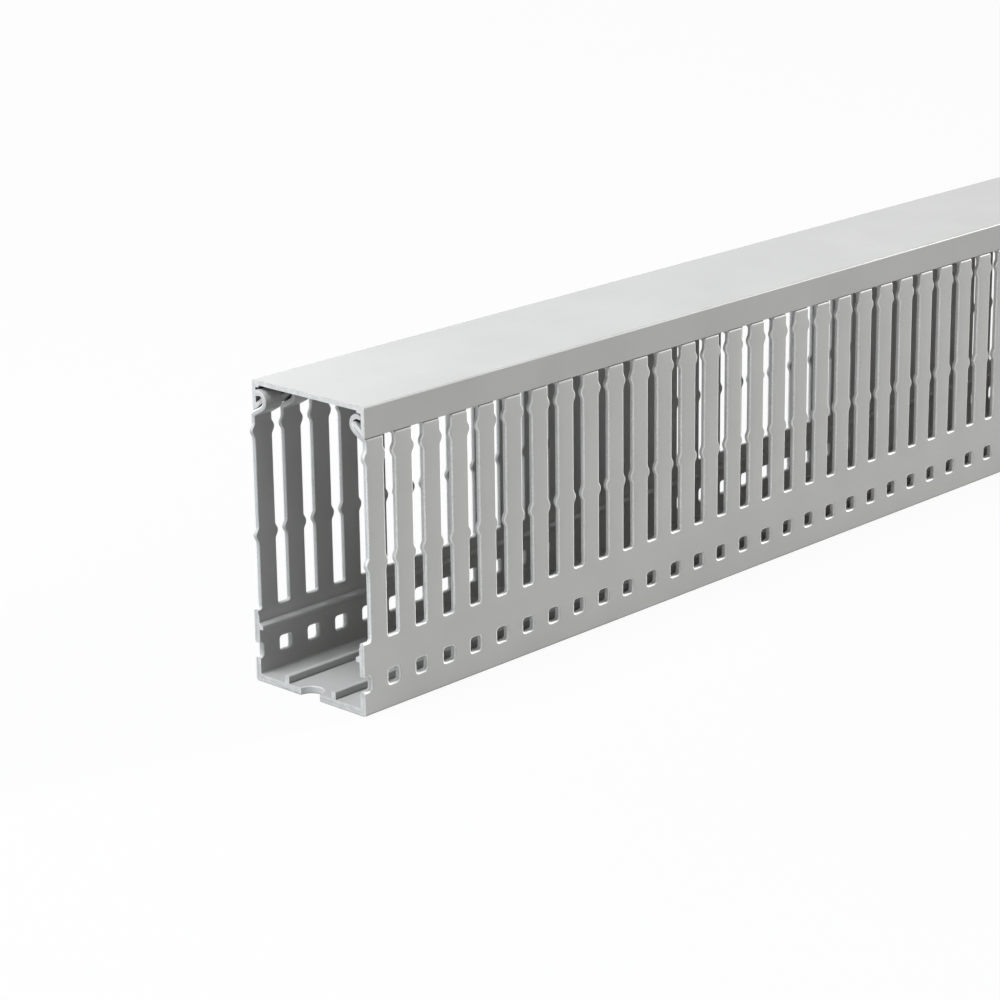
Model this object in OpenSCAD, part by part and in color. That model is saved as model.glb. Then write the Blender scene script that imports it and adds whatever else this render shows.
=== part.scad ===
// Slotted wire duct, nominal 40 x 80 mm, in grey rigid PVC, with its snap-on lid.
// The duct is one extruded and punched U section with two rows of fingers.
// The lid is one extruded section that clips over the hooks of the fingers.
// X runs along the duct, Y across it and Z up, from the middle of the base's underside.

/* [Duct size] */
// Length of the duct and of its lid, sawn through a slot at each end
duct_length = 1000; // [200:100:1000]
// Width over the two walls
duct_w = 40.5; // [36:0.5:80]
// Height over the closed lid
duct_h = 80.5; // [70:0.5:100]
// Thickness of the base
base_t = 2; // [1.5:0.1:2.5]
// Thickness of each wall below the slots
wall_t = 1.8; // [1.6:0.1:2.2]
// Thickness of the fingers and of their hooks
finger_t = 1.5; // [1.2:0.1:1.5]
// Radius of the outer corners under the base
base_corner_r = 0.7; // [0.3:0.1:1.2]

/* [Slots] */
// Spacing of the slots along the duct
slot_pitch = 10; // [8:0.5:20]
// Width of a slot
slot_w = 4; // [3:0.1:5]
// Height of the slot's closed end
slot_bottom_z = 19.5; // [18.5:0.1:26]
// Radius in the corners of the slot's closed end
slot_corner_r = 0.6; // [0.2:0.1:1.2]
// Height of the lower pinch, which holds wires down in the slot
lower_pinch_z = 39.4; // [30:0.1:46]
// Depth of the upper pinch below the lid's top face
upper_pinch_drop = 13.2; // [13:0.1:18]
// How far each finger stands into the slot at a pinch
pinch_h = 0.85; // [0.4:0.05:1.1]
// Radius of a pinch's crest
pinch_r = 2.4; // [1.4:0.1:3]
// How far the slots of the wall on the -Y side stand along from the base holes
front_slot_shift = 0.6; // [-1:0.1:1]
// How far the slots of the wall on the +Y side stand along from the base holes
back_slot_shift = -0.7; // [-1:0.1:1]

/* [Wall holes] */
// Side of the square holes under the slots
wall_hole = 4; // [3:0.1:5]
// Height of the centres of the square holes
wall_hole_z = 8.5; // [7.5:0.1:10]
// Corner radius of the square holes
wall_hole_r = 0.8; // [0.3:0.1:0.9]
// How far the square holes of the wall on the -Y side stand along from the base holes
front_hole_shift = 0.4; // [-1:0.1:1]
// How far the square holes of the wall on the +Y side stand along from the base holes
back_hole_shift = -0.9; // [-1:0.1:1]

/* [Base holes] */
// Diameter of the mounting holes in the base
base_hole_d = 7; // [4.5:0.1:8]
// Spacing of the mounting holes along the base
base_hole_pitch = 50; // [20:10:100]

/* [Ribs] */
// Distance between the middles of the two floor ribs
floor_rib_span = 17.2; // [12:0.1:20]
// Width of a floor rib
floor_rib_w = 1.5; // [1:0.1:2]
// Height of a floor rib above the base
floor_rib_h = 2; // [1:0.1:3]
// Height of the underside of the wall ribs
wall_rib_z = 14.3; // [13.5:0.1:15]
// Height of a wall rib's outer edge
wall_rib_edge = 1.2; // [0.8:0.1:1.6]
// Height of a wall rib where it leaves the wall
wall_rib_root = 1.8; // [1.6:0.1:2.2]
// How far a wall rib stands out from the wall
wall_rib_out = 1.3; // [0.8:0.1:1.8]

/* [Hooks] */
// Slope of the shoulder that leads from a finger in to its hook, in degrees
shoulder_slope = 30; // [20:1:32]
// Inside radius of the hook
hook_in_r = 1.4; // [1.4:0.05:1.8]
// Distance of the hook's centre in from the outer face of the wall
hook_in = 3.1; // [3:0.1:3.6]
// Depth of the hook's centre below the lid's top face
hook_drop = 5.1; // [5:0.1:5.6]
// Radius of the hook's rounded tip
hook_tip_r = 0.85; // [0.8:0.05:1]
// Radius of the shoulder's outer edge
shoulder_r = 0.8; // [0.5:0.1:1]

/* [Lid] */
// Thickness of the lid's top
lid_t = 1.25; // [1:0.05:1.4]
// Thickness of the lid's sides
skirt_t = 1.25; // [1:0.05:1.4]
// Radius of the lid's outer corners
lid_corner_r = 0.5; // [0.2:0.1:1]
// Thickness of the lip that clips into the hook
lip_t = 1.2; // [0.9:0.05:1.25]
// Direction of the lip's tip from the hook's centre, in degrees above level
lip_tip_angle = 26; // [10:1:35]
// Width of the stop bead in the lid's inner corner
stop_w = 1.1; // [0.6:0.1:1.5]
// Depth of the stop bead below the lid's top
stop_h = 0.6; // [0.3:0.1:0.6]
// How far the lid stands along from the end of the duct
lid_shift = 2.2; // [0:0.1:20]
// Running gap between the lid and the hooks
clip_gap = 0.25; // [0.2:0.05:0.3]

/* [Hidden] */

// Every circle is a true round one; this only smooths the preview
$fn = 48;
// How far a cutting shape runs past the face it cuts
past = 1;
// Straight stretches cross their bends this far short of tangent, as a share of the radius
meet = 0.985;

// Slots and holes stand on their own pitches, the outer ones sawn through with the ends
slot_count = floor(duct_length / slot_pitch) + 1;
base_hole_count = floor(duct_length / base_hole_pitch) + 1;
upper_pinch_z = duct_h - upper_pinch_drop;
pinch_middle = slot_w / 2 + pinch_r - pinch_h;

// The wall is thinned just below the slots, down to the thickness of the fingers
step_drop = 1.4;
step_h = wall_t - finger_t;
step_z = slot_bottom_z - step_drop;

// The hook is a band as thick as the finger, bent round one centre
hook_z = duct_h - hook_drop;
hook_out_r = hook_in_r + finger_t;
hook_tip_in = skirt_t + clip_gap + hook_tip_r;
// Directions along the shoulder, up and in, and square to it, down and in
run = [cos(shoulder_slope), sin(shoulder_slope)];
out = [sin(shoulder_slope), -cos(shoulder_slope)];
hook_middle = [hook_in, hook_z];
// Points square below the hook's middle, on the shoulder's upper and lower faces
upper_foot = hook_middle + meet * hook_in_r * out;
lower_foot = hook_middle + meet * hook_out_r * out;
// Middle of the bent band square below the hook's middle, measured from that middle
band_middle = (hook_in_r + finger_t / 2) * out;
// The shoulder's outer edge is an arc about this middle
edge_middle = [shoulder_r, upper_foot[1]
    - (upper_foot[0] - shoulder_r) * tan(shoulder_slope) - meet * shoulder_r / cos(shoulder_slope)];
// Where the shoulder's lower face leaves the finger's inner face
inner_bend_z = lower_foot[1] - (lower_foot[0] - finger_t) * tan(shoulder_slope);

// Height, at a distance u in from the outer face, of the line that the lid's sides end on
function lid_foot_z(u) = upper_foot[1] + (u - upper_foot[0]) * tan(shoulder_slope)
    + clip_gap / cos(shoulder_slope);
lid_z = duct_h - lid_t;
// The lip's rounded tip lies in the hook's bend, the running gap from it
lip_r = lip_t / 2;
lip_middle = hook_middle
    + (hook_in_r - clip_gap - lip_r) * [cos(lip_tip_angle), sin(lip_tip_angle)];
// Its lower face starts from the sides' foot, just in from their inner face
lip_root = [skirt_t + clip_gap / 2, lid_foot_z(skirt_t + clip_gap / 2)];
lip_slope = atan2(lip_middle[1] - lip_root[1], lip_middle[0] - lip_root[0])
    - asin(meet * lip_r / norm(lip_middle - lip_root));
lip_up = [-sin(lip_slope), cos(lip_slope)];
// Height of the lip's lower face (side -1) or upper face (side 1)
function lip_z(u, side) = lip_middle[1] + (u - lip_middle[0]) * tan(lip_slope)
    + side * meet * lip_r / cos(lip_slope);

// What a corner of radius r leaves outside its arc
module corner(r) {
    difference() {
        translate([-past, -past]) square(r + past);
        translate([r, r]) circle(r);
    }
}

// Sections of one side: u runs in from the wall's outer face, z up
module wall_section() {
    // Wall with its step, and the finger above it
    polygon([[0, 0], [wall_t, 0], [wall_t, step_z], [finger_t, step_z + step_h],
        [finger_t, edge_middle[1]], [0, edge_middle[1]]]);
    // Rib along the wall's inner face
    polygon([[wall_t / 2, wall_rib_z], [wall_t + wall_rib_out, wall_rib_z],
        [wall_t + wall_rib_out, wall_rib_z + wall_rib_edge],
        [wall_t, wall_rib_z + wall_rib_root], [wall_t / 2, wall_rib_z + wall_rib_root]]);
}

module hook_section() {
    // Rounded outer edge of the shoulder
    translate(edge_middle) circle(shoulder_r);
    // Shoulder, starting inside that edge and ending inside the bend
    polygon([edge_middle, [finger_t / 2, inner_bend_z], [finger_t, inner_bend_z], lower_foot,
        upper_foot + finger_t / 2 * run, edge_middle - meet * shoulder_r * out]);
    translate(hook_middle) {
        // Bend, open between the arm and the shoulder
        difference() {
            circle(hook_out_r);
            circle(hook_in_r);
            polygon([[0, 0], [0, 2 * hook_out_r], [-2 * hook_out_r, 2 * hook_out_r],
                band_middle - 2 * hook_out_r * run, band_middle]);
        }
        // Arm
        translate([hook_tip_in - hook_in, hook_in_r]) square([hook_in - hook_tip_in, finger_t]);
        // Rounded tip
        translate([hook_tip_in - hook_in, hook_out_r - hook_tip_r]) circle(hook_tip_r);
    }
}

module both_sides() {
    for (side = [0, 1]) mirror([side, 0]) translate([-duct_w / 2, 0]) children();
}

module duct_section() {
    difference() {
        union() {
            translate([-duct_w / 2, 0]) square([duct_w, base_t]);
            both_sides() {
                wall_section();
                hook_section();
            }
            for (side = [-1, 1]) translate([(side * floor_rib_span - floor_rib_w) / 2, 0])
                square([floor_rib_w, base_t + floor_rib_h]);
        }
        both_sides() corner(base_corner_r);
    }
}

module lid_section() {
    difference() {
        union() {
            translate([-duct_w / 2, lid_z]) square([duct_w, lid_t]);
            both_sides() {
                // Side
                translate([0, lid_foot_z(0) - past])
                    square([skirt_t, lid_z + lid_t / 2 - lid_foot_z(0) + past]);
                // Lip
                polygon([[skirt_t / 2, lip_z(skirt_t / 2, -1)], lip_middle - meet * lip_r * lip_up,
                    lip_middle + meet * lip_r * lip_up, [skirt_t / 2, lip_z(skirt_t / 2, 1)]]);
                translate(lip_middle) circle(lip_r);
                // Stop bead in the corner
                translate([skirt_t / 2, lid_z - stop_h])
                    square([skirt_t / 2 + stop_w, stop_h + lid_t / 2]);
            }
        }
        both_sides() {
            polygon([[-past, lid_foot_z(-past) - 2 * past], [hook_in, lid_foot_z(-past) - 2 * past],
                [hook_in, lid_foot_z(hook_in)], [-past, lid_foot_z(-past)]]);
            translate([0, duct_h]) mirror([0, 1]) corner(lid_corner_r);
        }
    }
}

module slot_outline() {
    difference() {
        translate([-slot_w / 2, slot_bottom_z]) square([slot_w, duct_h]);
        for (side = [0, 1]) mirror([side, 0]) {
            translate([-slot_w / 2, slot_bottom_z]) corner(slot_corner_r);
            for (z = [lower_pinch_z, upper_pinch_z]) translate([pinch_middle, z]) circle(pinch_r);
        }
    }
}

module wall_hole_outline() {
    translate([0, wall_hole_z]) difference() {
        square(wall_hole, center = true);
        for (side = [0, 1], end = [0, 1]) mirror([side, 0]) mirror([0, end])
            translate([-wall_hole / 2, -wall_hole / 2]) corner(wall_hole_r);
    }
}

// Extrudes a section, drawn in Y and Z, along X
module along(length) {
    rotate([90, 0, 90]) linear_extrude(length, center = true) children();
}

// Row of punches that cut one wall, from the middle of the duct outwards
module wall_punches(slot_shift, hole_shift) {
    for (i = [0 : slot_count - 1]) translate([i * slot_pitch - duct_length / 2, 0, 0])
        rotate([90, 0, 0]) linear_extrude(duct_w / 2 + past) {
            translate([slot_shift, 0]) slot_outline();
            translate([hole_shift, 0]) wall_hole_outline();
        }
}

module duct() {
    color([0.62, 0.63, 0.62]) difference() {
        along(duct_length) duct_section();
        // Each wall is punched on its own, so that the two rows do not stand quite opposite
        wall_punches(front_slot_shift, front_hole_shift);
        mirror([0, 1, 0]) wall_punches(back_slot_shift, back_hole_shift);
        // Mounting holes in the base
        for (i = [0 : base_hole_count - 1])
            translate([i * base_hole_pitch - duct_length / 2, 0, -past])
                cylinder(h = base_t + 2 * past, d = base_hole_d);
    }
}

module lid() {
    color([0.78, 0.79, 0.79]) translate([lid_shift, 0, 0]) along(duct_length) lid_section();
}

duct();
lid();
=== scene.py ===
import math

import bmesh
import bpy
import numpy as np
from mathutils import Matrix, Vector


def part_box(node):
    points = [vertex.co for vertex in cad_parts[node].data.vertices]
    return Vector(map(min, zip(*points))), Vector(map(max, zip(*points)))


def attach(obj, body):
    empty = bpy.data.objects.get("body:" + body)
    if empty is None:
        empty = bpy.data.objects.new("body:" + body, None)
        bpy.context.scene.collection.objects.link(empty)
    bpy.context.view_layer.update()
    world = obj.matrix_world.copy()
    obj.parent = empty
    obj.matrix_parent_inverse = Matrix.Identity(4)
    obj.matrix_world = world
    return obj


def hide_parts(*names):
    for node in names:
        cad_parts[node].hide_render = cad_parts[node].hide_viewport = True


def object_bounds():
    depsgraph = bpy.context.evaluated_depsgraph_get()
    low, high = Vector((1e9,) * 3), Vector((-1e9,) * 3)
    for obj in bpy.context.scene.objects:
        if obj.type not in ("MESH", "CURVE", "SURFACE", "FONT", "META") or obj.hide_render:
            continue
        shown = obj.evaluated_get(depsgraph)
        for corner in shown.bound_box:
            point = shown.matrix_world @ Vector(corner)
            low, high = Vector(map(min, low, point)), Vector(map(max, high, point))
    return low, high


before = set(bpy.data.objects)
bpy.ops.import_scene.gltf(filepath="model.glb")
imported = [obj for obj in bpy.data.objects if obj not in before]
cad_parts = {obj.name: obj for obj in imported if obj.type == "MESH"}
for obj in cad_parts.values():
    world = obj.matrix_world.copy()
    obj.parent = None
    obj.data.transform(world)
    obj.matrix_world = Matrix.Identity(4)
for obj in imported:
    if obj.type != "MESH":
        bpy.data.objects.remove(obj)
cad_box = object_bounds()

# ---------------------------------------------------------------------------
# Duct: one length of rigid grey PVC, extruded as a U section. Slots, square
# wall holes and round base holes are punched from outside, which rolls their
# outer edges in; the tops of the fingers are bent in to hooks for the lid.
# ---------------------------------------------------------------------------
MM = 0.001
duct_low, duct_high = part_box("duct")
near_end = duct_low.x / MM
half_width = duct_high.y / MM
pitch = 10.0
cells = round((duct_high.x - duct_low.x) / MM / pitch)
# How far each wall's slots and square holes stand along from the base holes
front_slots, front_holes = 0.6, 0.4
back_slots, back_holes = -0.7, -0.9

finger_half = 3.0
finger_thick = 1.5
wall_thick = 1.8
base_thick = 2.0
rolled_edge = 0.4
inner_edge = 0.3


def rim(point, into, face, back, outer=rolled_edge, inner=inner_edge):
    """Five points from the outer face, over the rolled edge and through the wall, to the inner face."""
    (x, z), (dx, dz) = point, into
    steps = [
        (outer, 0.0),
        (outer * 0.293, outer * 0.293),
        (0.0, outer),
        (0.0, back - inner),
        (inner, back),
    ]
    return [(x + dx * off, face + deep, z + dz * off) for off, deep in steps]


# How deep in a punched edge a point lies: 0 on the outer face, 0.4 where the punch began
# to shear, 1 on the inner face
rim_depth = [0.0, 0.2, 0.4, 0.8, 1.0]


class Panel:
    """Points and faces of one repeated stretch of the duct, with how deep in a punched edge each point is."""

    def __init__(self):
        self.points, self.depth, self.faces = [], [], []

    def row(self, points, depth):
        start = len(self.points)
        self.points += [tuple(p) for p in points]
        self.depth += depth if isinstance(depth, list) else [depth] * len(points)
        return list(range(start, len(self.points)))

    def band(self, a, b, closed=False):
        if len(a) != len(b):
            self.flat(a + b[::-1])
            return
        n = len(a) if closed else len(a) - 1
        for i in range(n):
            j = (i + 1) % len(a)
            self.faces.append((a[i], a[j], b[j], b[i]))

    def flat(self, loop):
        self.faces.append(tuple(loop))

    def mirrored(self, axis, about):
        out = Panel()
        out.points = [
            tuple(2 * about - v if k == axis else v for k, v in enumerate(p)) for p in self.points
        ]
        out.depth = list(self.depth)
        out.faces = [tuple(reversed(f)) for f in self.faces]
        return out


# A slot's closed end and a square hole, as outlines on the left half of a cell
slot_end = 19.5
slot_half = pitch / 2 - finger_half
slot_corner = 0.6
hole_half = 2.0
hole_middle = 8.5
hole_corner = 0.8


def quarter(cx, cz, r, start, end, steps):
    turn = [math.radians(start + (end - start) * k / steps) for k in range(steps + 1)]
    return [((cx + r * math.cos(t), cz + r * math.sin(t)), (math.cos(t), math.sin(t))) for t in turn]


slot_outline = [((0.0, slot_end), (0.0, -1.0))] + quarter(
    slot_half - slot_corner, slot_end + slot_corner, slot_corner, -90, 0, 2
)


def hole_outline(half):
    low, high = hole_middle - hole_half, hole_middle + hole_half
    return (
        [((0.0, low), (0.0, -1.0))]
        + quarter(half - hole_corner, low + hole_corner, hole_corner, -90, 0, 3)
        + quarter(half - hole_corner, high - hole_corner, hole_corner, 0, 90, 3)
        + [((0.0, high), (0.0, 1.0))]
    )


def rims(panel, outline, back, right):
    """The punched edge along an outline; on the right half it is the left one's mirror image."""
    rows = []
    for point, into in outline:
        pts = rim(point, into, 0.0, back)
        if right:
            pts = [(pitch - x, u, z) for x, u, z in pts]
        rows.append(panel.row(pts, rim_depth))
    for a, b in zip(rows, rows[1:]):
        panel.band(*((b, a) if right else (a, b)))
    return [r[0] for r in rows], [r[-1] for r in rows]


corner_r = 0.7
fillet = 0.4
rib_z, rib_out = 14.3, 1.3


def wall_panel(hole_ahead, joint):
    """The wall from one slot's middle to the next. Its holes stand hole_ahead further along than
    its slots, and joint is where two stretches of the base meet at its foot."""
    wall = Panel()
    hole_l = rims(wall, hole_outline(hole_half + hole_ahead), wall_thick, False)
    hole_r = rims(wall, hole_outline(hole_half - hole_ahead), wall_thick, True)
    slot_l = rims(wall, slot_outline, finger_thick, False)
    slot_r = rims(wall, slot_outline, finger_thick, True)

    def across(u, z, depth, at=(0.0, pitch)):
        return wall.row([(x, u, z) for x in at], depth)

    # Outer face of the wall, from the rounded bottom corner up to the fingers' roots
    rows = [
        across(
            corner_r - corner_r * math.sin(a),
            corner_r - corner_r * math.cos(a),
            0.0,
            (0.0, pitch) if a else (0.0, joint, pitch),
        )
        for a in (0, math.radians(30), math.radians(60), math.radians(90))
    ]
    for a, b in zip(rows, rows[1:]):
        wall.band(a, b)
    wall.flat(rows[-1] + hole_r[0] + slot_r[0] + slot_l[0][::-1] + hole_l[0][::-1])

    # Inner face: fillet at the floor, wall with its holes, rib, step, and the fingers' roots
    floor_rows = [
        across(
            wall_thick + fillet * (1 - math.sin(a)),
            base_thick + fillet * (1 - math.cos(a)),
            1.0,
            (0.0, pitch) if a else (0.0, joint, pitch),
        )
        for a in (0, math.radians(45), math.radians(90))
    ]
    above = [
        across(u, z, 1.0)
        for u, z in (
            (wall_thick, rib_z),
            (wall_thick + rib_out - 0.15, rib_z),
            (wall_thick + rib_out, rib_z + 0.15),
            (wall_thick + rib_out, rib_z + 1.0),
            (wall_thick + rib_out - 0.2, rib_z + 1.26),
            (wall_thick, rib_z + 1.8),
            (wall_thick, slot_end - 1.4),
            (finger_thick, slot_end - 1.1),
        )
    ]
    for rows in (floor_rows, above):
        for a, b in zip(rows, rows[1:]):
            wall.band(b, a)
    wall.flat((floor_rows[-1] + hole_r[1] + above[0][::-1] + hole_l[1][::-1])[::-1])
    wall.flat((above[-1] + slot_r[1] + slot_l[1][::-1])[::-1])

    # The finger grows from the last points of the slots' ends
    root = list(range(slot_r[0][-1], slot_r[1][-1] + 1))
    root += list(range(slot_l[0][-1], slot_l[1][-1] + 1))[::-1]
    loops = [root] + [wall.row(loop, rim_depth + rim_depth[::-1]) for loop in finger_loops]
    for a, b in zip(loops, loops[1:]):
        wall.band(a, b, closed=True)
    wall.flat(loops[-1][::-1])
    return wall


# Finger: half width along its height, wider at the two pinches
pinch_out = 0.85
crest_r, foot_r = 1.8, 1.5
pinch_half = math.sqrt(2 * (crest_r + foot_r) * pinch_out - pinch_out**2)
turn_over = pinch_half * crest_r / (crest_r + foot_r)


def stand_out(d):
    d = abs(d)
    if d >= pinch_half:
        return 0.0
    if d > turn_over:
        return foot_r - math.sqrt(foot_r**2 - (pinch_half - d) ** 2)
    return pinch_out - crest_r + math.sqrt(crest_r**2 - d**2)


# Stations up the finger: a point on the outer face, one on the inner face, and the half width
slope = math.radians(30)
hook_u, hook_z, hook_in, hook_out = 3.1, 75.4, 1.4, 2.9
edge_r = 0.8
edge_u = edge_r
edge_z = hook_z - (hook_in + edge_r) / math.cos(slope) - (hook_u - edge_u) * math.tan(slope)
stations = []
for middle in (39.4, 67.3):
    for d in (-pinch_half, -1.72, -turn_over, -0.6, 0.0, 0.6, turn_over, 1.72, pinch_half):
        stations.append(((0.0, middle + d), (finger_thick, middle + d), finger_half + stand_out(d)))
bend_z = hook_z - hook_out / math.cos(slope) - (hook_u - finger_thick) * math.tan(slope)
for turn, inner in (
    (180, (finger_thick, bend_z - 0.2)),
    (150, (finger_thick + 0.04, bend_z + 0.02)),
    (120, (finger_thick + 0.25, bend_z + 0.25 * math.tan(slope))),
):
    t = math.radians(turn)
    stations.append(((edge_u + edge_r * math.cos(t), edge_z + edge_r * math.sin(t)), inner, finger_half))
for turn in (-60, -36, -11, 14, 39, 64, 90):
    t = math.radians(turn)
    c, s = math.cos(t), math.sin(t)
    stations.append(
        ((hook_u + hook_in * c, hook_z + hook_in * s), (hook_u + hook_out * c, hook_z + hook_out * s), finger_half)
    )
tip_u, tip_z, tip_r = 2.35, 77.45, 0.85
for turn, half in ((90, 3.0), (125, 3.0), (152, 2.97), (172, 2.85)):
    t = math.radians(turn)
    stations.append(
        (
            (tip_u + tip_r * math.cos(t), tip_z - tip_r * math.sin(t)),
            (tip_u + tip_r * math.cos(t), tip_z + tip_r * math.sin(t)),
            half,
        )
    )


def finger_loop(outer, inner, half):
    (ou, oz), (iu, iz) = outer, inner
    thick = math.hypot(iu - ou, iz - oz)
    eu, ez = (iu - ou) / thick, (iz - oz) / thick
    r, c = min(rolled_edge, 0.4 * thick), min(inner_edge, 0.2 * thick)
    middle = pitch / 2
    side = [(half - r, 0.0), (half - 0.293 * r, 0.293 * r), (half, r), (half, thick - c), (half - c, thick)]
    pts = [(middle + x, ou + eu * d, oz + ez * d) for x, d in side]
    pts += [(middle - x, ou + eu * d, oz + ez * d) for x, d in side[::-1]]
    return pts


finger_loops = [finger_loop(*station) for station in stations]

# Base: floor ribs either side of its middle, and a round hole every fifth pitch
rib_half, rib_top, rib_mid = 0.75, 2.0, 8.6
base_hole_r = 3.5
every = 5


def base_panel(hole):
    """One pitch of the base; hole is -1 with half a hole at its low end, 1 at its high end, or 0."""
    base = Panel()
    y_edge = half_width - wall_thick - fillet

    def strip(y, z, depth=1.0, joint=None):
        return base.row([(x, y, z) for x in (0.0, joint, pitch) if x is not None], depth)

    def rib_profile(middle):
        r = 0.3
        out = [(middle - rib_half, base_thick)]
        for a in (180, 135, 90):
            t = math.radians(a)
            out.append((middle - rib_half + r + r * math.cos(t), base_thick + rib_top - r + r * math.sin(t)))
        for a in (90, 45, 0):
            t = math.radians(a)
            out.append((middle + rib_half - r + r * math.cos(t), base_thick + rib_top - r + r * math.sin(t)))
        return out + [(middle + rib_half, base_thick)]

    left = [strip(y, z) for y, z in rib_profile(-rib_mid)]
    right = [strip(y, z) for y, z in rib_profile(rib_mid)]
    for ribs in (left, right):
        for a, b in zip(ribs, ribs[1:]):
            base.band(a, b)
    front_joint, back_joint = front_slots % pitch, back_slots % pitch
    base.band(strip(-y_edge, base_thick, 1.0, front_joint), left[0])
    base.band(right[-1], strip(y_edge, base_thick, 1.0, back_joint))
    under_l = strip(-half_width + corner_r, 0.0, 0.0, front_joint)
    under_r = strip(half_width - corner_r, 0.0, 0.0, back_joint)
    if not hole:
        base.band(left[-1], right[0])
        base.band(under_r, under_l)
    else:
        steps = 12
        tops, unders = [], []
        for k in range(steps + 1):
            t = math.pi * k / steps
            dx, dy = math.sin(t), -math.cos(t)
            x0 = 0.0 if hole < 0 else pitch
            sx = dx if hole < 0 else -dx
            pts = [
                (x0 + sx * (base_hole_r + off), dy * (base_hole_r + off), z)
                for off, z in ((0.3, base_thick), (0.09, base_thick - 0.09), (0.0, base_thick - 0.3), (0.0, 0.12), (0.12, 0.0))
            ]
            r = base.row(pts, [1.0, 0.8, 0.75, 0.5, 0.0])
            tops.append(r[0])
            unders.append(r[-1])
        rows = [list(range(a, b + 1)) for a, b in zip(tops, unders)]
        for a, b in zip(rows, rows[1:]):
            base.band(*((b, a) if hole < 0 else (a, b)))
        if hole < 0:
            base.flat([left[-1][0]] + tops + [right[0][0], right[0][1], left[-1][1]])
            base.flat([under_r[0]] + unders[::-1] + under_l + under_r[:0:-1])
        else:
            base.flat([right[0][1]] + tops[::-1] + [left[-1][1], left[-1][0], right[0][0]])
            base.flat([under_l[-1]] + unders + under_r[::-1] + under_l[:-1])
    return base


def wall_row(slots, holes, side):
    """One wall's panel in the part's frame, and where its first stretch starts."""
    panel = wall_panel(holes - slots, -slots % pitch)
    panel.points = [(x, -half_width + u, z) for x, u, z in panel.points]
    return panel if side < 0 else panel.mirrored(1, 0.0), slots % pitch - pitch


stretches = [
    (panel, start + cell * pitch)
    for panel, start in (wall_row(front_slots, front_holes, -1), wall_row(back_slots, back_holes, 1))
    for cell in range(cells + 1)
]
base_kinds = {h: base_panel(h) for h in (-1, 0, 1)}
for cell in range(cells):
    hole = -1 if cell % every == 0 else 1 if cell % every == every - 1 else 0
    stretches.append((base_kinds[hole], cell * pitch))
all_points, all_depths, all_faces, count = [], [], [], 0
for panel, start in stretches:
    all_points.append(np.array(panel.points) + (near_end + start, 0.0, 0.0))
    all_depths += panel.depth
    all_faces += [tuple(i + count for i in f) for f in panel.faces]
    count += len(panel.points)

duct_mesh = bpy.data.meshes.new("duct_pvc")
duct_mesh.from_pydata((np.concatenate(all_points) * MM).tolist(), [], all_faces)
depth_layer = duct_mesh.attributes.new("punch_depth", "FLOAT", "POINT")
depth_layer.data.foreach_set("value", all_depths)

# The panels are welded to one skin, sawn off at the two ends and closed there
bm = bmesh.new()
bm.from_mesh(duct_mesh)
bmesh.ops.remove_doubles(bm, verts=bm.verts[:], dist=2e-6)
snap = 1e-6
for end, outwards in ((duct_low.x, -1), (duct_high.x, 1)):
    bmesh.ops.bisect_plane(
        bm,
        geom=bm.verts[:] + bm.edges[:] + bm.faces[:],
        dist=snap,
        plane_co=(end, 0, 0),
        plane_no=(outwards, 0, 0),
        clear_outer=True,
    )
    open_edges = [
        e for e in bm.edges if e.is_boundary and all(abs(v.co.x - end) < snap for v in e.verts)
    ]
    before = set(bm.faces)
    bmesh.ops.holes_fill(bm, edges=open_edges, sides=0)
    for f in bm.faces:
        if f not in before:
            f.material_index = 1
bm.to_mesh(duct_mesh)
bm.free()
duct_mesh.shade_smooth()
duct_mesh.set_sharp_from_angle(angle=math.radians(50))

duct = bpy.data.objects.new("duct_with_fingers", duct_mesh)
bpy.context.scene.collection.objects.link(duct)
even = duct.modifiers.new("flat faces stay flat", "WEIGHTED_NORMAL")
even.keep_sharp = True


def new_material(name):
    m = bpy.data.materials.new(name)
    m.use_nodes = True
    m.node_tree.nodes.clear()
    return m, m.node_tree.nodes, m.node_tree.links


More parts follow.
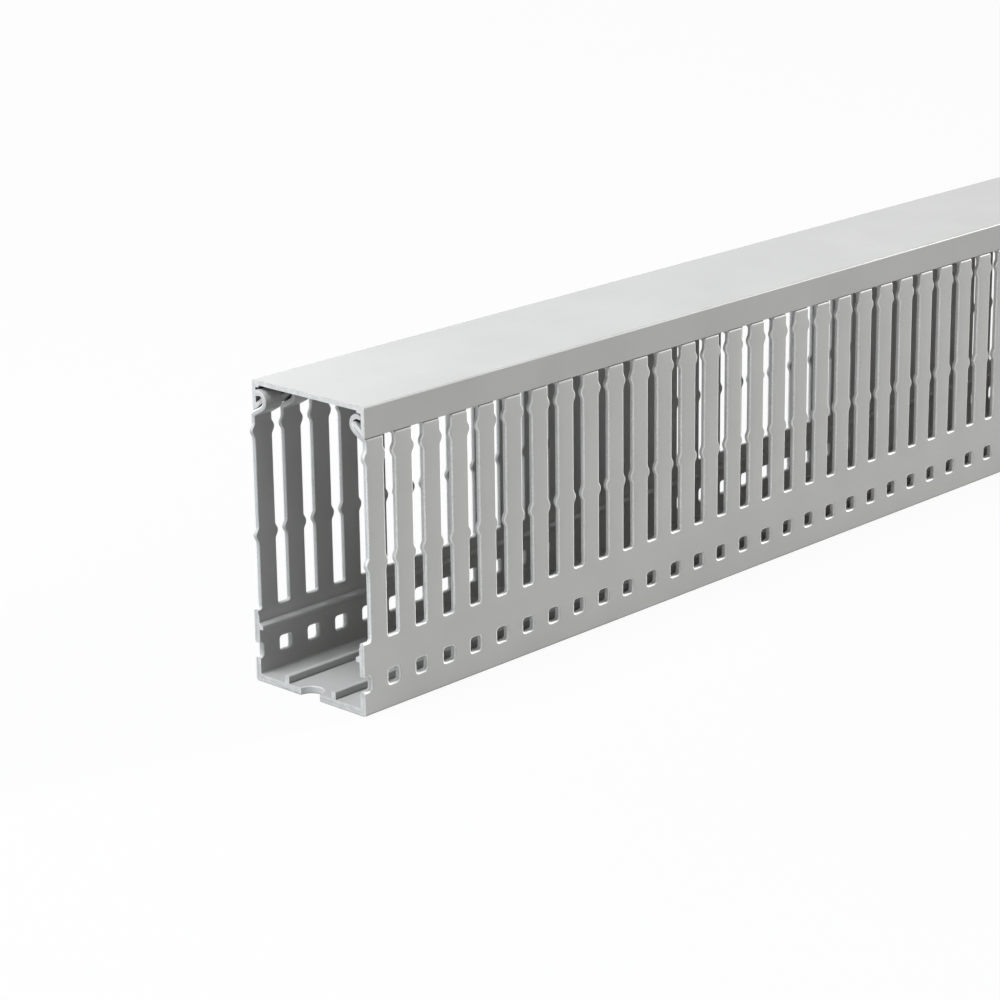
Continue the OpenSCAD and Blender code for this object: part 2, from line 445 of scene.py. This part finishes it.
def pvc(name, colour, rolled_colour, sheared_colour, gloss, mottling=(45.0, 0.035)):
    """Rigid grey PVC: mottling of some scale and strength, fine lines along the extrusion, punched
    edges gone pale and grainy, a few specks, and painted shade in the narrow gaps."""
    m, nodes, links = new_material(name)
    out = nodes.new("ShaderNodeOutputMaterial")
    shader = nodes.new("ShaderNodeBsdfPrincipled")
    shader.inputs["Specular IOR Level"].default_value = 0.45
    links.new(shader.outputs["BSDF"], out.inputs["Surface"])
    place = nodes.new("ShaderNodeTexCoord").outputs["Object"]

    def noise(scale, detail, where=place):
        node = nodes.new("ShaderNodeTexNoise")
        node.inputs["Scale"].default_value = scale
        node.inputs["Detail"].default_value = detail
        links.new(where, node.inputs["Vector"])
        return node.outputs["Fac"]

    def ranged(value, before, after):
        """The value carried over from one range to another, and held at its ends."""
        node = nodes.new("ShaderNodeMapRange")
        ends = zip(("From Min", "From Max", "To Min", "To Max"), before + after)
        for socket, number in ends:
            node.inputs[socket].default_value = number
        links.new(value, node.inputs["Value"])
        return node.outputs["Result"]

    def darkened(colour_out, tone_out):
        mix = nodes.new("ShaderNodeMix")
        mix.data_type = "RGBA"
        mix.blend_type = "MULTIPLY"
        mix.inputs["Factor"].default_value = 1.0
        links.new(colour_out, mix.inputs["A"])
        links.new(tone_out, mix.inputs["B"])
        return mix.outputs["Result"]

    def bumped(height, strength, normal=None):
        node = nodes.new("ShaderNodeBump")
        node.inputs["Strength"].default_value = strength
        node.inputs["Distance"].default_value = 0.00002
        links.new(height, node.inputs["Height"])
        if normal:
            links.new(normal, node.inputs["Normal"])
        return node.outputs["Normal"]

    # Extrusion lines, long in X and a few tenths of a millimetre wide
    along = nodes.new("ShaderNodeMapping")
    along.inputs["Scale"].default_value = (6.0, 1800.0, 1800.0)
    links.new(place, along.inputs["Vector"])
    lines = noise(1.0, 3.0, along.outputs["Vector"])

    # Punched edges: a smooth pale roll, a fine dark line where the shear began, then a torn pale band
    depth = nodes.new("ShaderNodeAttribute")
    depth.attribute_name = "punch_depth"
    bands = nodes.new("ShaderNodeValToRGB")
    ramp = bands.color_ramp
    ramp.elements[0].position, ramp.elements[0].color = 0.02, (*rolled_colour, 0)
    ramp.elements[1].position, ramp.elements[1].color = 0.97, (*sheared_colour, 0)
    line_colour = tuple(0.62 * c for c in rolled_colour)
    for position, band_colour in (
        (0.12, rolled_colour),
        (0.40, rolled_colour),
        (0.44, line_colour),
        (0.50, sheared_colour),
        (0.84, sheared_colour),
    ):
        ramp.elements.new(position).color = (*band_colour, 1)
    links.new(depth.outputs["Fac"], bands.inputs["Fac"])
    torn = ranged(noise(3200.0, 2.0), (0.35, 0.65), (0.88, 1.06))
    surface = nodes.new("ShaderNodeMix")
    surface.data_type = "RGBA"
    links.new(bands.outputs["Alpha"], surface.inputs["Factor"])
    surface.inputs["A"].default_value = (*colour, 1)
    links.new(darkened(bands.outputs["Color"], torn), surface.inputs["B"])

    # Mottling, then specks a third of a millimetre wide, one every centimetre or two
    scale, strength = mottling
    tone = ranged(noise(scale, 4.0), (0.3, 0.7), (1.0 - strength, 1.0 + strength))
    scatter = nodes.new("ShaderNodeTexVoronoi")
    scatter.inputs["Scale"].default_value = 60.0
    links.new(place, scatter.inputs["Vector"])
    specks = ranged(scatter.outputs["Distance"], (0.008, 0.016), (0.55, 1.0))
    # Painted shade where two faces nearly touch, as under the lid's foot: the colour darkens with ambient occlusion
    # within a millimetre
    gaps = nodes.new("ShaderNodeAmbientOcclusion")
    gaps.samples = 6
    gaps.inputs["Distance"].default_value = 0.001
    painted_gap_shade = ranged(gaps.outputs["AO"], (0.3, 0.8), (0.25, 1.0))
    shade = darkened(darkened(surface.outputs["Result"], tone), specks)
    links.new(darkened(shade, painted_gap_shade), shader.inputs["Base Color"])

    links.new(ranged(lines, (0.0, 1.0), (gloss - 0.05, gloss + 0.07)), shader.inputs["Roughness"])
    grain = noise(2600.0, 2.0)
    links.new(bumped(grain, 0.2, bumped(lines, 0.25)), shader.inputs["Normal"])
    return m


duct_grey = pvc("duct_grey_pvc", (0.395, 0.395, 0.387), (0.92, 0.92, 0.915), (0.63, 0.63, 0.63), 0.42)
sawn_tone = (0.7, 0.7, 0.69)
sawn_grey = pvc("sawn_grey_pvc", sawn_tone, sawn_tone, sawn_tone, 0.62, (500.0, 0.12))
duct_mesh.materials.append(duct_grey)
duct_mesh.materials.append(sawn_grey)
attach(duct, "duct")
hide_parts("duct")

# ---------------------------------------------------------------------------
# Lid: one extruded PVC section, a flat top with two short sides. A lip leans
# in from each side's foot and clips under the finger hooks, with a small bead
# above it that stops the lid on them. It is pressed on, with no fastener.
# ---------------------------------------------------------------------------
lid_low, lid_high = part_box("lid")
lid_top = lid_high.z / MM
top_thick, side_thick = 1.25, 1.25
running_gap = 0.25
lip_r = 0.6
lip_u = hook_u + (hook_in - running_gap - lip_r) * math.cos(math.radians(26))
lip_z = hook_z + (hook_in - running_gap - lip_r) * math.sin(math.radians(26))


def foot_z(u):
    """Height of the slanted end of the lid's sides, the running gap above the shoulder."""
    return hook_z - 0.985 * hook_in / math.cos(slope) - (hook_u - u) * math.tan(slope) + running_gap / math.cos(slope)


root_u = side_thick + running_gap / 2
root_z = foot_z(root_u)
lip_slope = math.atan2(lip_z - root_z, lip_u - root_u) - math.asin(
    0.985 * lip_r / math.hypot(lip_u - root_u, lip_z - root_z)
)


def arc(cu, cz, r, start, end, steps):
    return [
        (cu + r * math.cos(math.radians(start + (end - start) * k / steps)),
         cz + r * math.sin(math.radians(start + (end - start) * k / steps)))
        for k in range(steps + 1)
    ]


lip_deg = math.degrees(lip_slope)
upper_z = lip_z + 0.985 * lip_r / math.cos(lip_slope) - (lip_u - side_thick) * math.tan(lip_slope)
bead_z = lid_top - top_thick - 0.6
# One side's outline from the middle of the top, out and round, to the middle of the underside
lid_side = (
    arc(0.5, lid_top - 0.5, 0.5, 90, 180, 5)
    + arc(0.12, foot_z(0.0) + 0.18, 0.12, 180, 250, 2)
    + [(root_u, root_z)]
    + arc(lip_u, lip_z, lip_r, lip_deg - 90, lip_deg + 90, 8)
    + [(side_thick + 0.25, upper_z + 0.25 * math.tan(lip_slope)), (side_thick + 0.03, upper_z + 0.1), (side_thick, upper_z + 0.35)]
    + [(side_thick, bead_z - 0.12), (side_thick + 0.1, bead_z)]
    + arc(side_thick + 0.95, bead_z + 0.15, 0.15, -90, 0, 2)
    + [(side_thick + 1.1, lid_top - top_thick - 0.08), (side_thick + 1.2, lid_top - top_thick)]
)
outline = [(-half_width + u, z) for u, z in lid_side]
outline += [(half_width - u, z) for u, z in lid_side[::-1]]

# Extruded in stretches, with one more ring of the outline close to each sawn end
sawn = 0.12
lid_length = (lid_high.x - lid_low.x) / MM
stops = [0.0, sawn] + [lid_length * k / 40 for k in range(1, 40)] + [lid_length - sawn, lid_length]
ring_y = np.array([p[0] for p in outline])
ring_z = np.array([p[1] for p in outline])
lid_points, lid_faces = [], []
for s in stops:
    lid_points += [((lid_low.x / MM + s) * MM, y * MM, z * MM) for y, z in outline]
n = len(outline)
for k in range(len(stops) - 1):
    for i in range(n):
        j = (i + 1) % n
        lid_faces.append((k * n + i, k * n + j, (k + 1) * n + j, (k + 1) * n + i))
lid_faces.append(tuple(reversed(range(n))))
lid_faces.append(tuple(range((len(stops) - 1) * n, len(stops) * n)))
lid_mesh = bpy.data.meshes.new("lid_pvc")
lid_mesh.from_pydata(lid_points, [], lid_faces)
bm = bmesh.new()
bm.from_mesh(lid_mesh)
bmesh.ops.recalc_face_normals(bm, faces=bm.faces[:])
for f in bm.faces:
    if len(f.verts) > 4:
        f.material_index = 1
bm.to_mesh(lid_mesh)
bm.free()
lid_mesh.shade_smooth()
lid_mesh.set_sharp_from_angle(angle=math.radians(50))
lid = bpy.data.objects.new("lid_cover", lid_mesh)
bpy.context.scene.collection.objects.link(lid)
even = lid.modifiers.new("flat faces stay flat", "WEIGHTED_NORMAL")
even.keep_sharp = True
lid_grey = pvc("lid_grey_pvc", (0.365, 0.365, 0.358), (0.6, 0.6, 0.59), (0.60, 0.60, 0.59), 0.36)
lid_mesh.materials.append(lid_grey)
lid_mesh.materials.append(sawn_grey)
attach(lid, "lid")
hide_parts("lid")

# ---------------------------------------------------------------------------
# Studio floor: a wide pale sheet. The camera sees it as white paper, and the
# soft shadow of the duct stays on it.
# ---------------------------------------------------------------------------
def looked_at(nodes, links):
    """1 for what the camera sees, straight or in a gloss, and 0 for what lights other things."""
    path = nodes.new("ShaderNodeLightPath")
    straight_or_gloss = nodes.new("ShaderNodeMath")
    links.new(path.outputs["Is Camera Ray"], straight_or_gloss.inputs[0])
    links.new(path.outputs["Is Glossy Ray"], straight_or_gloss.inputs[1])
    seen = nodes.new("ShaderNodeMath")
    seen.use_clamp = True
    links.new(straight_or_gloss.outputs["Value"], seen.inputs[0])
    links.new(path.outputs["Is Transmission Ray"], seen.inputs[1])
    return seen.outputs["Value"]


bm = bmesh.new()
bmesh.ops.create_grid(bm, x_segments=1, y_segments=1, size=8.0)
floor_mesh = bpy.data.meshes.new("studio_floor")
bm.to_mesh(floor_mesh)
bm.free()
floor = bpy.data.objects.new("studio_floor", floor_mesh)
floor.location = (0, 0, cad_box[0][2] - 0.0001)
bpy.context.scene.collection.objects.link(floor)
paper, nodes, links = new_material("white_paper")
out = nodes.new("ShaderNodeOutputMaterial")
diffuse = nodes.new("ShaderNodeBsdfDiffuse")
diffuse.inputs["Color"].default_value = (0.5, 0.5, 0.5, 1)
glow = nodes.new("ShaderNodeEmission")
glow.inputs["Color"].default_value = (1, 1, 1, 1)
glow.inputs["Strength"].default_value = 1.0
both = nodes.new("ShaderNodeMixShader")
share = nodes.new("ShaderNodeMath")
share.operation = "MULTIPLY"
share.inputs[1].default_value = 0.93
links.new(looked_at(nodes, links), share.inputs[0])
links.new(share.outputs["Value"], both.inputs["Fac"])
links.new(diffuse.outputs["BSDF"], both.inputs[1])
links.new(glow.outputs["Emission"], both.inputs[2])
links.new(both.outputs["Shader"], out.inputs["Surface"])
floor_mesh.materials.append(paper)

# White surroundings, which the camera and the gloss see; they light the rest only faintly
world = bpy.data.worlds.new("studio")
bpy.context.scene.world = world
world.use_nodes = True
nodes, links = world.node_tree.nodes, world.node_tree.links
nodes.clear()
out = nodes.new("ShaderNodeOutputWorld")
dim = nodes.new("ShaderNodeBackground")
dim.inputs["Color"].default_value = (1, 1, 1, 1)
dim.inputs["Strength"].default_value = 0.02
white = nodes.new("ShaderNodeBackground")
white.inputs["Color"].default_value = (1, 1, 1, 1)
white.inputs["Strength"].default_value = 1.0
both = nodes.new("ShaderNodeMixShader")
links.new(looked_at(nodes, links), both.inputs["Fac"])
links.new(dim.outputs["Background"], both.inputs[1])
links.new(white.outputs["Background"], both.inputs[2])
links.new(both.outputs["Shader"], out.inputs["Surface"])


# ---------------------------------------------------------------------------
# Lamps: a cool soft box above the near end and a small one before it, a big
# one far off that grazes the front wall, and a weaker one behind the duct.
# ---------------------------------------------------------------------------
def soft_box(name, place, size, watts, colour=(1.0, 1.0, 1.0)):
    lamp = bpy.data.lights.new(name, "AREA")
    lamp.shape = "RECTANGLE"
    lamp.size, lamp.size_y = size
    lamp.energy = watts
    lamp.color = colour
    obj = bpy.data.objects.new(name, lamp)
    obj.location = Vector((duct_low.x, 0, 0)) + Vector(place)
    aim = Vector((duct_low.x + 0.08, 0, 0.04))
    obj.rotation_euler = (aim - obj.location).to_track_quat("-Z", "Y").to_euler()
    bpy.context.scene.collection.objects.link(obj)
    return obj


soft_box("key_box", (-0.35, 0.1, 1.2), (0.6, 0.6), 18.5, (0.95, 0.98, 1.0))
soft_box("end_box", (-0.8, 0.1, 0.5), (0.5, 0.5), 2.4, (0.9, 0.96, 1.0))
soft_box("side_box", (7.0, -2.45, 2.2), (2.4, 2.4), 960, (1.0, 0.99, 0.965))
soft_box("back_box", (0.5, 1.6, 0.7), (1.4, 0.8), 12)

# ---------------------------------------------------------------------------
# Camera: a long lens, looking down at the cut end and one side of the duct.
# ---------------------------------------------------------------------------
camera_data = bpy.data.cameras.new("camera")
camera_data.sensor_width = 36.0
camera_data.lens = 111.43
camera_data.clip_end = 50.0
camera = bpy.data.objects.new("camera", camera_data)
right = Vector((0.68556070, -0.72789780, -0.01308919))
up = Vector((0.22765924, 0.19727089, 0.95354888))
back = right.cross(up)
camera.matrix_world = Matrix.Translation(
    Vector((duct_low.x - 0.50249, duct_low.y - 0.52469, 0.28588))
) @ Matrix((right, up, back)).transposed().to_4x4()
bpy.context.scene.collection.objects.link(camera)
bpy.context.scene.camera = camera
bpy.context.scene.view_settings.view_transform = "Standard"
